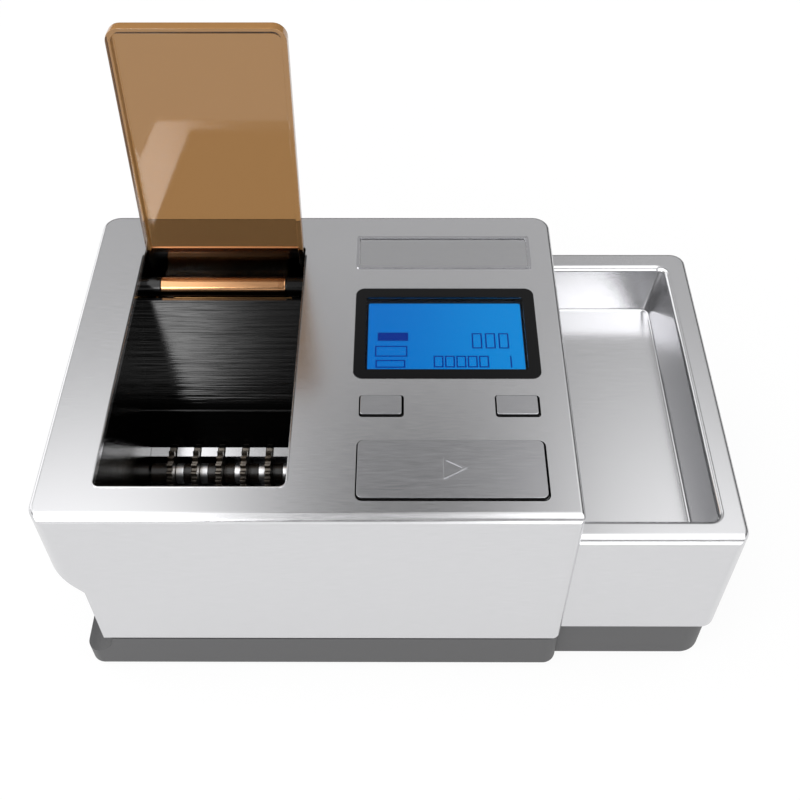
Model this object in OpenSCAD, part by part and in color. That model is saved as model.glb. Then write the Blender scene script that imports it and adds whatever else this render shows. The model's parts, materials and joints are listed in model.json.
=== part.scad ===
// Electric tube filling machine: a table-top housing with a hopper under a
// hinged see-through lid, a display and keys, and a tray that slides out of
// the right-hand side.  X runs to the right, Y to the back, Z up.  Inside the
// file the housing's own left front corner is at X = 0, Y = 0; place() moves
// everything so that the origin is under the middle of the whole object.

/* [Housing] */
// Width of the housing
body_w = 215.9; // [200:0.1:260]
// Depth of the housing
body_d = 178.3; // [170:0.1:215]
// Height of the top panel above the table
body_h = 120; // [112:1:144]
// Height of the joint between the silver shell and the dark base
split_z = 26.6; // [24:0.2:28]
// Shadow gap between shell and base
shadow_gap = 1; // [0.4:0.1:1.4]
// Wall of the shell and of the base
wall = 2.5; // [2:0.1:3]
// Thickness of the top panel
panel_t = 3; // [2:0.1:4]
// Plan radius of the corners
corner_r = 8; // [6:0.5:10]
// Rounding of the front upper edge
front_edge_r = 4.5; // [3:0.5:5.5]
// Rounding of the other upper edges
edge_r = 2; // [1:0.5:2.5]
// Height of the feet
foot_h = 2.4; // [1.5:0.1:4]
// Plan radius of the corners of the base
base_corner_r = 6; // [4:0.5:10]

/* [Tube station] */
// How far the lower left side stands in from the shell's side
inset = 11.5; // [10:0.1:14]
// Height of the top of the slanted part of the left side
overhang_z = 83.5; // [80:0.5:90]
// Height where the slanted part meets the inset wall
inset_z = 66; // [60:0.5:72]
// Height of the shelf on the base
shelf_z = 14.6; // [10:0.2:20]
// Outside diameter of the nozzle
nozzle_od = 7.6; // [7:0.1:8.4]
// Inside diameter of the nozzle
nozzle_id = 6.8; // [6:0.1:7]
// Length of the nozzle beyond the inset wall
nozzle_out = 16; // [14:0.5:22]
// Place of the nozzle from the front
nozzle_y = 62; // [58:1:66]
// Height of the nozzle's axis
nozzle_z = 32; // [31:0.5:33]

/* [Hopper] */
// How far right of the inset wall the hopper opening starts
hopper_in = 11.7; // [10:0.1:14]
// Width of the hopper opening
hopper_w = 75.9; // [72:0.1:82]
// Front of the hopper opening
hopper_y = 16.2; // [12:0.2:20]
// Length of the hopper opening
hopper_d = 140; // [136:1:142]
// Wall of the hopper
hopper_wall = 2; // [1.5:0.1:2.2]

/* [Lid] */
// Gap between the lid and the opening
lid_gap = 0.75; // [0.4:0.05:1.2]
// Depth of the lid's rim
lid_rim = 6; // [4:0.5:7]
// Thickness of the lid
lid_t = 2.3; // [1.8:0.1:2.8]
// Diameter of the lid's hinge barrel
barrel_d = 9.2; // [8:0.2:9.6]
// Diameter of the hinge pin
hinge_pin_d = 3; // [2.5:0.1:4]
// Angle at which the open lid stands
lid_open = 96; // [92:0.5:97]

/* [Tray] */
// How far the tray stands out
tray_out = 69.1; // [50:0.1:74]
// Length of the tray
tray_l = 105; // [95:1:105]
// Height of the top of the tray
tray_top = 99.2; // [90:0.2:99.2]
// Gap from the front of the housing to the front of the tray
tray_inset = 4; // [3.6:0.1:6]
// Depth of the tray's pocket
tray_pocket = 24.2; // [15:0.2:50]
// Width of the tray's rim
tray_rim = 8.6; // [6:0.1:12]
// How far the pocket's walls lean in
tray_draft = 4.4; // [0:0.2:8]

/* [Controls] */
// Left edge of the start button
start_x = 127.1; // [120:0.1:130]
// Width of the start button
start_w = 75; // [50:1:80]
// Front edge of the start button
start_y = 10.4; // [9:0.2:14]
// Depth of the start button
start_d = 28.4; // [20:0.2:34]
// Width of each small key
key_w = 17.2; // [12:0.2:24]
// Depth of each small key
key_d = 10.2; // [8:0.2:14]
// Front edge of the small keys
key_y = 52.6; // [50:0.2:56]
// Travel of the buttons
press = 1.2; // [0.6:0.1:1.4]
// Gap round each button
key_gap = 0.6; // [0.4:0.1:1]
// Width of the display's frame
display_w = 80.4; // [60:0.2:84]
// Depth of the display's frame
display_d = 54.8; // [40:0.2:60]
// Front edge of the display's frame
display_y = 72.7; // [70:0.2:76]
// Width of the display's frame at its sides
display_border = 5.8; // [4:0.2:8]
// Width of the nameplate
plate_w = 79; // [50:1:82]
// Depth of the nameplate
plate_d = 19.4; // [12:0.2:24]

/* [Mechanism] */
// Number of feed wheels
wheels = 6; // [4:1:7]
// Outside diameter of a feed wheel
wheel_d = 26; // [20:0.5:26]
// Teeth of a feed wheel
wheel_teeth = 20; // [12:1:24]
// Diameter of the feed shaft
shaft_d = 5; // [4:0.5:6]
// Travel of the spoon carriage
stroke = 70; // [50:1:70]
// Travel of the tamper
tamp = 6.8; // [4:0.2:6.8]
// Size of the gear teeth
gear_m = 1; // [0.9:0.02:1]
// Diameter of the motors
motor_d = 24; // [18:0.5:24]
// Length of the motors
motor_l = 40; // [30:1:46]

/* [Hidden] */
$fn = 64;

eps = 0.01;              // overlap of cutters past the faces they cut
over = 20;               // reach of cutters outside the housing
fit = 0.05;              // radial clearance of a shaft in its bush
free = 0.3;              // clearance between pieces that move past each other

// Heights and walls of the housing
base_z = foot_h;
floor_t = wall;
floor_z = base_z + floor_t;
panel_z = body_h - panel_t;
inner_y0 = wall;
inner_y1 = body_d - wall;
front_right_r = 4;
lower_right_r = 3;
base_left = 1.2;
base_edge_r = 2;
rabbet = 1.2;
sweep_r = 11;

foot_d = 14;
foot_sink = 0.8;
foot_at = [for (x = [20, body_w - 18], y = [18, body_d - 18]) [x, y]];

// Tray and its bay
bay_top = tray_top + 1;
liner_t = 1.8;
roof_top = bay_top + liner_t;
tray_x1 = body_w + tray_out;
tray_x0 = tray_x1 - tray_l;
tray_closed_x0 = tray_x0 - tray_out;
tray_y0 = tray_inset;
tray_y1 = body_d - tray_inset + 0.4;
tray_split = split_z + 4.1;
tray_r = 7;
tray_wall = 2.2;
tray_floor = floor_z + 0.8;
tray_base_draft = 1.6;
rail_h = 2.5;
mouth_r = 2.5;
pocket_r = 4;

// Left side: shell, inset wall and nozzle
nozzle_tip = inset - nozzle_out;
plate_t = 1.5;
left_frame_x = inset + 2 * wall + 0.4;
frame_t = 2;

// Whole object: from the nozzle's tip to the tray's end
whole_x0 = nozzle_tip;
whole_x1 = tray_x1;

// Hopper
hopper_x = inset + hopper_in;
hopper_x1 = hopper_x + hopper_w;
hopper_y1 = hopper_y + hopper_d;
hopper_back = hopper_y1 + 4;
right_frame_x = hopper_x1 + hopper_wall + free;
gear_x = right_frame_x + frame_t + 0.5;
gear_t = 3;
gear_x1 = gear_x + gear_t;
liner_x0 = gear_x1 + 0.8;
liner_x1 = liner_x0 + liner_t;

// Lid hinge: the closed lid lies flush with the panel
hinge_y = hopper_y1 - 14.2;
hinge_z = body_h - 12.45;
lid_x0 = hopper_x + lid_gap + 0.5;
lid_x1 = hopper_x1 - lid_gap;
lid_y0 = hopper_y + lid_gap;
lid_y1 = hopper_y1 - lid_gap + 0.2;
lid_r = 6;
knuckle_left = 7.4;
knuckle_right = 8.9;

// Slopes of the hopper, as points of its side view
chute_top = [hinge_y - 10.9, hinge_z + 1.4];
feed_y = nozzle_y + 19.5;
feed_z = nozzle_z + 8.3;
chute_foot = [feed_y + 9, feed_z + 9.6];
chute_knee = [feed_y + 19.5, 72.4];
chute_bead = chute_foot + 0.77 * (chute_knee - chute_foot);
bead_d = 1.2;
comb_t = 1;
comb_l = 6.6;
comb_tilt = 12;
comb_strip = [2.1, 0.6];
wheel_t = 2.8;
collar_d = 10;
collar_w = 3.8;
front_foot = [nozzle_y - 6, nozzle_z + 14];
front_top_z = panel_z - 4;
hopper_low = nozzle_z + 6.3;
trough_z = hinge_z - 17.5;

// Chamber, spoon and carriage
groove_r = 4;
chamber_z0 = nozzle_z - 10;
chamber_floor = nozzle_z - groove_r - 0.2;
chamber_x0 = left_frame_x + frame_t;
slot_w = 3;
fin_w = 1.6;
fin_l = 3;
spoon_r = nozzle_id / 2 - free;
spoon_t = 0.5;
spoon_l = stroke + 1.5;
carriage_z0 = floor_z + 3.1;
carriage_z1 = chamber_z0 - 1.5;
carriage_l = 10;
carriage_x1 = right_frame_x - 0.8;
fin_x1 = carriage_x1 - 2.2;
slot_x1 = fin_x1 + 1;
slot_x0 = slot_x1 - stroke - 5;
bush_d = 9;
bush_l = 2.6;
screw_d = 6;
screw_z = floor_z + 9.1;
rod_d = 4;
rod_reach = 8.5;

// Tamper
tamper_face = nozzle_y - 8;
tamper_back = tamper_face - 14;
tamper_x0 = slot_x0 + 0.6;
tamper_x1 = fin_x1 - fin_l - 1;
tamper_z0 = chamber_floor + 0.2;
tamper_z1 = nozzle_z + 5;
plunger_d = 5;
solenoid_z = tamper_z1 + 7;
solenoid_x = (tamper_x0 + tamper_x1) / 2;
solenoid_w = 20;
solenoid_y = tamper_back - 6;
solenoid_l = 24;

// Gear trains, seen along the shafts: each centre is [y, z]
feed_teeth = 38;
feed_pinion_teeth = 12;
screw_teeth = 14;
idler_teeth = 20;
drive_teeth = 12;
mesh_gap = 0.25;
feed_c = [feed_y, feed_z];
screw_c = [nozzle_y, screw_z];
feed_motor_dir = -30;
idler_dir = 170;
drive_dir = 175;
feed_motor_c = feed_c + mesh_reach(feed_teeth, feed_pinion_teeth) * heading(feed_motor_dir);
idler_c = screw_c + mesh_reach(screw_teeth, idler_teeth) * heading(idler_dir);
drive_c = idler_c + mesh_reach(idler_teeth, drive_teeth) * heading(drive_dir);
idler_turn = mesh_turn(idler_dir, idler_dir, screw_teeth, idler_teeth);
drive_turn = mesh_turn(drive_dir, idler_turn, idler_teeth, drive_teeth);

// Electronics under the top panel
board_x0 = liner_x1 + 3;
board_x1 = body_w - wall - 2;
board_y0 = inner_y0 + 4;
board_y1 = display_y + display_d + 4;
board_t = 1.6;
board_z = roof_top + 0.6;
board_top = board_z + board_t;
switch_h = 3.2;
button_rise = 0.8;
button_flange = 1.6;
flange_z = panel_z - 0.2 - button_flange;
stem_z = board_top + switch_h + press + 0.2;
key_x = [start_x + 0.4, start_x + start_w - 0.6 - key_w];
display_x = start_x - 3.1;
plate_x = start_x - 2.4;
plate_y = hopper_y1 - 13.8;
plate_depth = 1;
window_p0 = [display_x + display_border, display_y + display_border + 0.4];
window_p1 = [display_x + display_w - display_border - 0.4,
    display_y + display_d - display_border - 0.9];
window_lip = 1;
start_c = [start_x + start_w / 2, start_y + start_d / 2];
key_c = [for (x = key_x) [x + key_w / 2, key_y + key_d / 2]];
stem_gap = start_w / 2 - 12;

// Power parts at the back
recess_depth = 3;
recess_x = [34, 92];
recess_z = [42, 62];
inlet_x = 46;
rocker_x = 74;
power_z = (recess_z[0] + recess_z[1]) / 2;
back_y = body_d - recess_depth;
power_board_at = [[26, 120], [98, 160]];
rocker_tilt = 7;

// Tube clamp
clamp_x = inset - 4.1;
clamp_z = nozzle_z + 12;
clamp_w = 5.4;
ear_t = 2;
clamp_pin_d = 2.5;
clamp_reach = 8;

function heading(a) = [cos(a), sin(a)];
function mesh_reach(n1, n2) = gear_m * (n1 + n2) / 2 + mesh_gap;
// Turn of a second gear so that its gap meets the first gear's tooth
function mesh_turn(dir, turn, n1, n2) = dir + 180 + (dir - turn) * n1 / n2 + 180 / n2;
function wheel_x(i) = hopper_x + hopper_w * (i + 0.94) / (wheels + 0.52);

// Moves the housing's own frame to the middle of the whole object
module place() translate([-(whole_x0 + whole_x1) / 2, -body_d / 2, 0]) children();

// A shape drawn in [y, z], extruded along X from x0 to x1
module along_x(x0, x1) translate([x0, 0, 0]) rotate([90, 0, 90])
    linear_extrude(height = x1 - x0) children();

// A shape drawn in [x, z], extruded along Y from y0 to y1
module along_y(y0, y1) translate([0, y1, 0]) rotate([90, 0, 0])
    linear_extrude(height = y1 - y0) children();

module along_z(z0, z1) translate([0, 0, z0]) linear_extrude(height = z1 - z0) children();

module rod_x(x0, x1, c, d) along_x(x0, x1) translate(c) circle(d = d);

module box(p0, p1) translate(p0) cube(p1 - p0);

// A rectangle whose left and right pairs of corners have their own radii
module rounded(p0, p1, r_left, r_right) {
    translate([p0[0] + r_left, p0[1]])
        square([p1[0] - p0[0] - r_left - r_right, p1[1] - p0[1]]);
    if (r_left > 0) {
        translate([p0[0], p0[1] + r_left]) square([2 * r_left, p1[1] - p0[1] - 2 * r_left]);
        for (y = [p0[1] + r_left, p1[1] - r_left]) translate([p0[0] + r_left, y]) circle(r_left);
    }
    if (r_right > 0) {
        translate([p1[0] - 2 * r_right, p0[1] + r_right])
            square([2 * r_right, p1[1] - p0[1] - 2 * r_right]);
        for (y = [p0[1] + r_right, p1[1] - r_right]) translate([p1[0] - r_right, y]) circle(r_right);
    }
}

// Side view of a slab with its two upper edges rounded
module arched(a0, a1, z0, z1, r) {
    translate([a0, z0]) square([a1 - a0, z1 - z0 - r]);
    translate([a0 + r, z0]) square([a1 - a0 - 2 * r, z1 - z0]);
    for (a = [a0 + r, a1 - r]) translate([a, z1 - r]) circle(r);
}

// A post with a rounded upper edge
module post(r, edge, h) rotate_extrude() {
    square([r, h - edge]);
    square([r - edge, h]);
    intersection() {
        translate([r - edge, h - edge]) circle(edge);
        square([r, h]);
    }
}

// A block with rounded corners and rounded upper edges
module rounded_block(p0, p1, r, edge) {
    for (x = [p0[0] + r, p1[0] - r], y = [p0[1] + r, p1[1] - r])
        translate([x, y, p0[2]]) post(r, edge, p1[2] - p0[2]);
    along_x(p0[0] + r, p1[0] - r) arched(p0[1], p1[1], p0[2], p1[2], edge);
    along_y(p0[1] + r, p1[1] - r) arched(p0[0], p1[0], p0[2], p1[2], edge);
}

// What a larger rounding takes off a front upper edge at [y, z]
module front_edge_cut(c, r) along_x(-over, whole_x1 + over) difference() {
    translate(c - [1, r]) square([r + 1, r + 1]);
    translate(c + [r, -r]) circle(r);
}

module gear(teeth, bore) difference() {
    pitch = gear_m * teeth / 2;
    low = pitch - 1.25 * gear_m;
    high = pitch + 0.85 * gear_m;
    step = 360 / teeth;
    polygon([for (i = [0:teeth - 1], p = [[low, -0.3], [pitch, -0.22], [high, -0.1],
        [high, 0.1], [pitch, 0.22], [low, 0.3]]) p[0] * heading((i + p[1]) * step)]);
    circle(d = bore);
}

module gear_at(c, teeth, turn, bore) along_x(gear_x, gear_x1)
    translate(c) rotate(turn) gear(teeth, bore);

// ---------------------------------------------------------------- housing

// Outline of the left side in front view: overhang, slant and inset wall
module side_cut(depth) polygon([[-over, -over], [-over, overhang_z], [depth, overhang_z],
    [inset + depth, inset_z], [inset + depth, -over]]);

module shell_outside() {
    z0 = split_z + shadow_gap / 2;
    difference() {
        union() {
            rounded_block([0, 0, z0], [body_w, body_d, body_h], corner_r, edge_r);
            // The front right corner is tighter than the others
            rounded_block([body_w - 4 * corner_r, 0, z0], [body_w, 4 * corner_r, body_h],
                front_right_r, edge_r);
        }
        front_edge_cut([0, body_h], front_edge_r);
        along_y(-over, body_d + over) side_cut(0);
        along_y(-over, body_d + over) difference() {
            translate([body_w - lower_right_r, z0 - 1]) square(lower_right_r + 1);
            translate([body_w - lower_right_r, z0 + lower_right_r]) circle(lower_right_r);
        }
    }
}

module shell_inside() difference() {
    r = corner_r - wall;
    union() {
        along_z(0, panel_z) rounded([wall, inner_y0], [body_w - wall, inner_y1], r, r);
        along_z(0, bay_top) rounded([wall, inner_y0], [body_w + over, inner_y1], r, 0);
        // Ends the back wall where the corner's rounding would thin it out
        box([body_w - wall - 0.7, inner_y1 - 1, 0], [body_w + over, body_d + over, bay_top]);
    }
    along_y(-over, body_d + over) side_cut(wall);
}

module button_hole(x, y, w, d, r) along_z(panel_z - over, body_h + over)
    rounded([x - key_gap, y - key_gap], [x + w + key_gap, y + d + key_gap], r, r);

module top_shell() color("silver") place() difference() {
    union() {
        difference() {
            shell_outside();
            shell_inside();
        }
        // Boss behind the power recess
        box([recess_x[0] - wall, back_y - wall, recess_z[0] - wall],
            [recess_x[1] + wall, inner_y1 + eps, recess_z[1] + wall]);
    }
    along_z(panel_z - eps, body_h + over)
        rounded([hopper_x, hopper_y], [hopper_x1, hopper_y1], 2, 2);
    button_hole(start_x, start_y, start_w, start_d, 3);
    for (x = key_x) button_hole(x, key_y, key_w, key_d, 1.5);
    along_z(panel_z - over, body_h + over) rounded([display_x - 0.1, display_y - 0.1],
        [display_x + display_w + 0.1, display_y + display_d + 0.1], 4.1, 4.1);
    along_z(body_h - plate_depth, body_h + over)
        rounded([plate_x, plate_y], [plate_x + plate_w, plate_y + plate_d], 0.8, 0.8);
    // Holes for the nozzle, the switch and the inlet
    rod_x(-over, left_frame_x, [nozzle_y, nozzle_z], nozzle_od + 0.6);
    box([recess_x[0], back_y, recess_z[0]], [recess_x[1], body_d + over, recess_z[1]]);
    along_y(back_y - over, body_d) {
        translate([inlet_x - 5.2, power_z - 5.2]) square(10.4);
        translate([rocker_x - 9.7, power_z - 6.7]) square([19.4, 13.4]);
    }
    // Air slots in the back
    for (i = [0:7])
        box([inlet_x + i * 6, body_d - over, 82], [inlet_x + i * 6 + 2.4, body_d + 1, 100]);
}

// Turns a block that stands on Z = 0 over, so that it hangs below the joint
module upside_down() translate([0, 0, split_z - shadow_gap / 2]) mirror([0, 0, 1]) children();

module base_pan() color("dimgray") place() difference() {
    union() {
        upside_down() rounded_block([base_left, 0, 0],
            [body_w, body_d, split_z - shadow_gap / 2 - base_z], base_corner_r, base_edge_r);
        // Step that carries the shell, behind the shadow gap
        along_z(split_z - shadow_gap / 2 - eps, split_z + shadow_gap / 2)
            rounded([inset + rabbet, rabbet], [body_w - base_corner_r, body_d - rabbet], 1, 1);
    }
    // Hollow of the base
    along_z(floor_z, split_z + 1)
        rounded([inset + 2 * wall, wall], [body_w - base_corner_r + eps, body_d - wall], 3, 0);
    // Bay of the tray
    box([liner_x0, tray_y0 - 0.7, floor_z], [body_w + over, tray_y1 + 0.7, body_h]);
    // Shelf below the nozzle, swept up to the housing
    along_y(-over, body_d + over) {
        translate([-over, shelf_z]) square([over + inset + rabbet + 2.2 - sweep_r, over]);
        translate([-over, shelf_z + sweep_r]) square([over + inset + rabbet + 2.2, over]);
        translate([inset + rabbet + 2.2 - sweep_r, shelf_z + sweep_r]) circle(sweep_r);
    }
    // Air slots in the floor
    for (i = [0:5]) box([40 + 8 * i, 130, -1], [43 + 8 * i, 158, floor_z + 1]);
    foot_recesses();
}

module foot_recesses() for (p = foot_at)
    translate([p[0], p[1], base_z - eps]) cylinder(d = foot_d + 0.1, h = foot_sink + eps);

module rubber_feet() color("black") place() for (p = foot_at) translate([p[0], p[1], 0]) {
    cylinder(d = foot_d, h = base_z + foot_sink);
}

module nameplate() color("lightgray") place() along_z(body_h - plate_depth, body_h - 0.3)
    rounded([plate_x + 0.3, plate_y + 0.3],
        [plate_x + plate_w - 0.3, plate_y + plate_d - 0.3], 0.6, 0.6);

// ---------------------------------------------------------------- controls

module display_frame() color("black") place() difference() {
    along_z(board_top, body_h + 0.3)
        rounded([display_x, display_y], [display_x + display_w, display_y + display_d], 4, 4);
    along_z(board_top - 1, body_h + 1) rounded(window_p0, window_p1, 1, 1);
    // Seats of the window and of the display behind it
    along_z(body_h - 1.9, body_h - 0.3 + over)
        rounded(window_p0 - [window_lip, window_lip], window_p1 + [window_lip, window_lip], 1.5, 1.5);
    box([window_p0[0] - 2.2, window_p0[1] - 2.2, board_top - 1],
        [window_p1[0] + 2.2, window_p1[1] + 2.2, body_h - 3.5]);
}

module display_window() color("lightskyblue", 0.5) place() along_z(body_h - 1.9, body_h - 0.1)
    rounded(window_p0 - 0.9 * [window_lip, window_lip], window_p1 + 0.9 * [window_lip, window_lip],
        1.4, 1.4);

module lcd_module() color("deepskyblue") place() {
    box([window_p0[0] - 2, window_p0[1] - 2, board_top],
        [window_p1[0] + 2, window_p1[1] + 2, body_h - 3.6]);
}

module control_board() color("darkgreen") place() {
    box([board_x0, board_y0, board_z], [board_x1, board_y1, board_top]);
    // Pillars down to the roof of the bay
    for (x = [board_x0 + 4, board_x1 - 4], y = [board_y0 + 3, board_y1 - 3])
        translate([x, y, roof_top]) cylinder(d = 6, h = board_z - roof_top);
}

module tact_switches() color("dimgray") place() for (c = concat([start_c], key_c)) {
    box([c[0] - 3, c[1] - 3, board_top], [c[0] + 3, c[1] + 3, board_top + switch_h - 1]);
    translate([c[0], c[1], board_top]) cylinder(d = 3.4, h = switch_h);
}

// A button: cap through the panel, flange below it and a stem over its switch
module button(p0, size, r, c) {
    along_z(flange_z + eps, body_h + button_rise) rounded(p0, p0 + size, r, r);
    along_z(flange_z, flange_z + button_flange)
        rounded(p0 - [1.5, 1.5], p0 + size + [1.5, 1.5], r, r);
    translate([c[0], c[1], stem_z]) cylinder(d = 5, h = flange_z - stem_z + 1);
}

module start_button() color("silver") place() {
    button([start_x, start_y], [start_w, start_d], 2.5, start_c);
    for (s = [-1, 1]) translate([start_c[0] + s * stem_gap, start_c[1], stem_z])
        cylinder(d = 4, h = flange_z - stem_z + 1);
}

module left_key() color("silver") place() button([key_x[0], key_y], [key_w, key_d], 1, key_c[0]);

module right_key() color("silver") place() button([key_x[1], key_y], [key_w, key_d], 1, key_c[1]);

// A coil spring drawn as its plain sleeve
module spring_sleeve(c, z0, z1, d_in, d_out) translate([c[0], c[1], z0]) difference() {
    cylinder(d = d_out, h = z1 - z0);
    translate([0, 0, -1]) cylinder(d = d_in, h = z1 - z0 + 2);
}

module start_springs() color("gainsboro") place() for (s = [-1, 1])
    spring_sleeve([start_c[0] + s * stem_gap, start_c[1]], board_top, flange_z, 4.6, 6.2);

module key_springs() color("gainsboro") place() for (c = key_c)
    spring_sleeve(c, board_top + switch_h - 1, flange_z, 5.4, 6.8);

// ---------------------------------------------------------------- hopper and lid

// Hollow of the hopper in side view
module hopper_hollow() polygon([[hopper_y, panel_z], [hopper_y, front_top_z], front_foot,
    [front_foot[0], hopper_low], [chute_foot[0], hopper_low], chute_foot, chute_knee, chute_top,
    [chute_top[0] + 2.6, chute_top[1] - 1], [chute_top[0] + 3.1, trough_z],
    [hopper_back, trough_z], [hopper_back, panel_z]]);

// The same with the wall of the hopper round it
module hopper_profile() polygon([[hopper_y - hopper_wall, panel_z],
    [hopper_y - hopper_wall, front_top_z - 0.6], front_foot + [-hopper_wall, -1.2],
    [front_foot[0] - hopper_wall, hopper_low], [chute_foot[0] + hopper_wall, hopper_low],
    chute_foot + [hopper_wall, -0.6], chute_knee + [hopper_wall * 0.8, -hopper_wall * 0.7],
    [chute_top[0] + 1.6, trough_z - hopper_wall], [hopper_back + hopper_wall, trough_z - hopper_wall],
    [hopper_back + hopper_wall, panel_z]]);

module hopper() color("#151515") place() difference() {
    union() {
        along_x(hopper_x, hopper_x1) difference() {
            hopper_profile();
            hopper_hollow();
            translate([front_foot[0], 0])
                square([chute_foot[0] - front_foot[0] + hopper_wall, chute_foot[1] - 0.2]);
        }
        rod_x(hopper_x - eps, hopper_x1 + eps, chute_bead, bead_d);
        for (x = [hopper_x - hopper_wall, hopper_x1])
            along_x(x, x + hopper_wall) hopper_profile();
        rod_x(hopper_x - eps, hopper_x + knuckle_left, [hinge_y, hinge_z], barrel_d);
        rod_x(hopper_x1 - knuckle_right, hopper_x1 + eps, [hinge_y, hinge_z], barrel_d);
    }
    rod_x(hopper_x - over, hopper_x1 + over, [hinge_y, hinge_z], hinge_pin_d + 2 * fit);
    rod_x(hopper_x - over, hopper_x1 + over, feed_c, shaft_d + 2);
}

module hinge_pin() color("lightgray") place()
    rod_x(hopper_x - hopper_wall, hopper_x1 + hopper_wall, [hinge_y, hinge_z], hinge_pin_d);

// Comb that strips the feed wheels: its fingers slope down to the front, and
// a strip under the foot of the hopper joins them behind the wheels
module comb_plate() color("gainsboro") place() {
    back = chute_foot + [hopper_wall - 0.3, -0.2];
    difference() {
        along_x(hopper_x + 0.1, hopper_x1 - 0.1) translate(back)
            rotate(comb_tilt) translate([-comb_l, -comb_t]) square([comb_l, comb_t]);
        for (i = [0:wheels - 1]) box([wheel_x(i) - wheel_t / 2 - 0.5, 0, 0],
            [wheel_x(i) + wheel_t / 2 + 0.5, back[0] + comb_t, body_h]);
    }
    along_x(hopper_x + 0.1, hopper_x1 - 0.1) translate(back - [0.2, comb_t + 0.05]) square(comb_strip);
}

// The lid as it lies when closed
module lid_closed() difference() {
    union() {
        difference() {
            intersection() {
                along_z(body_h - lid_rim, body_h) rounded_lid(0);
                along_x(lid_x0, lid_x1) lid_side();
            }
            along_z(body_h - lid_rim - 1, body_h - lid_t) rounded_lid(lid_t);
        }
        rod_x(hopper_x + knuckle_left + 0.4, hopper_x1 - knuckle_right - 0.4, [hinge_y, hinge_z],
            barrel_d);
        along_x(hopper_x + knuckle_left + 0.4, hopper_x1 - knuckle_right - 0.4)
            translate([hinge_y - lid_t / 2, hinge_z]) square([lid_t, body_h - lid_t / 2 - hinge_z]);
    }
    rod_x(hopper_x, hopper_x1, [hinge_y, hinge_z], hinge_pin_d + 2 * fit);
}

module rounded_lid(m) translate([0, lid_y0]) rotate(90) mirror([0, 1])
    rounded([m, lid_x0 + m], [lid_y1 - lid_y0 - m, lid_x1 - m], lid_r - m, 2.5 - m / 3);

// Side view of the lid: its rear upper edge is rounded to pass the panel
module lid_side() {
    r = 4.4;
    translate([lid_y0, body_h - lid_rim - 1]) square([lid_y1 - lid_y0 - r, lid_rim + 1]);
    translate([lid_y1 - r, body_h - lid_rim - 1]) square([r, lid_rim + 1 - r]);
    translate([lid_y1 - r, body_h - r]) circle(r);
}

module lid() color("peru", 0.6) place() translate([0, hinge_y, hinge_z]) rotate([-lid_open, 0, 0])
    translate([0, -hinge_y, -hinge_z]) lid_closed();

// ---------------------------------------------------------------- tray

module bay_liner() color("dimgray") place() {
    box([liner_x0, inner_y0 + 0.1, floor_z], [liner_x1, inner_y1 - 0.1, roof_top]);
    along_z(bay_top, roof_top) rounded([liner_x1 - eps, inner_y0 + 0.1],
        [body_w - wall - 0.1, inner_y1 - 0.1], 0, corner_r - wall);
}

// The tray's outside, square at its left end
module tray_outside() difference() {
    rounded_block([tray_x0 - 2 * tray_r, tray_y0, tray_split], [tray_x1, tray_y1, tray_top],
        tray_r, edge_r);
    front_edge_cut([tray_y0, tray_top], front_edge_r);
    box([tray_x0 - over, 0, 0], [tray_x0, body_d, body_h]);
}

// A thin slice of the tray's pocket, set in by m from the tray's edges
module pocket_slice(z, m, r) along_z(z, z + eps)
    rounded([tray_x0 + m, tray_y0 + m], [tray_x1 - m, tray_y1 - m], r, r, $fn = 48);

// The tray's pocket below its rounded mouth, or with grow > 0 the skin round it
module tray_pocket(grow) {
    low = tray_top - tray_pocket - grow;
    side = tray_rim + mouth_r - grow;
    hull() {
        pocket_slice(tray_top - mouth_r, side, pocket_r + grow);
        pocket_slice(low + 1.8, side + tray_draft, pocket_r + grow);
        pocket_slice(low + 0.5, side + tray_draft + 0.5, pocket_r + grow - 0.5);
        pocket_slice(low, side + tray_draft + 1.8, pocket_r + grow - 1.5);
    }
}

// How far the rounded mouth stands in from the rim, and how deep, at an angle
function mouth(a) = mouth_r * [sin(a), cos(a) - 1];

module pocket_mouth() for (a = [0:22.5:67.5]) hull() for (p = [mouth(a), mouth(a + 22.5)])
    pocket_slice(tray_top + p[1], tray_rim + p[0], pocket_r + mouth_r - p[0]);

module tray_shell() color("silver") place() difference() {
    tray_outside();
    tray_pocket(0);
    pocket_mouth();
    // Hollow between the outside and the skin of the pocket
    difference() {
        along_z(tray_split - 1, tray_top - front_edge_r - 1)
            rounded([tray_x0 + tray_wall, tray_y0 + tray_wall],
                [tray_x1 - tray_wall, tray_y1 - tray_wall], 1, tray_r - tray_wall);
        tray_pocket(tray_wall);
    }
}

module tray_base() color("dimgray") place() {
    difference() {
        along_z(tray_floor, tray_split) rounded([tray_x0, tray_y0 + tray_base_draft / 2],
            [tray_x1 - tray_base_draft, tray_y1 - tray_base_draft / 2], 0, 10);
        along_z(tray_floor + rail_h + wall, tray_split + 1)
            rounded([tray_x0 + wall, tray_y0 + 2 * wall],
                [tray_x1 - 2 * wall, tray_y1 - 2 * wall], 1, 8);
    }
    // Runners that glide on the floor of the base
    for (y = [tray_y0 + 12, tray_y1 - 18])
        box([tray_x0 + 2, y, floor_z + free], [tray_x0 + 28, y + 6, tray_floor + eps]);
}

// ---------------------------------------------------------------- nozzle side

module nozzle_plate() color("gainsboro") place() difference() {
    union() {
        along_x(inset - plate_t, inset) translate([0, nozzle_z - 4])
            rounded([nozzle_y - 11, 0], [nozzle_y + 11, 26], 3, 3);
        for (y = [nozzle_y - clamp_w / 2 - free - ear_t, nozzle_y + clamp_w / 2 + free])
            along_y(y, y + ear_t) clamp_ear();
    }
    rod_x(-over, over, [nozzle_y, nozzle_z], nozzle_od + 0.1);
    along_y(0, body_d) translate([clamp_x, clamp_z]) circle(d = clamp_pin_d + 2 * fit);
}

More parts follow.
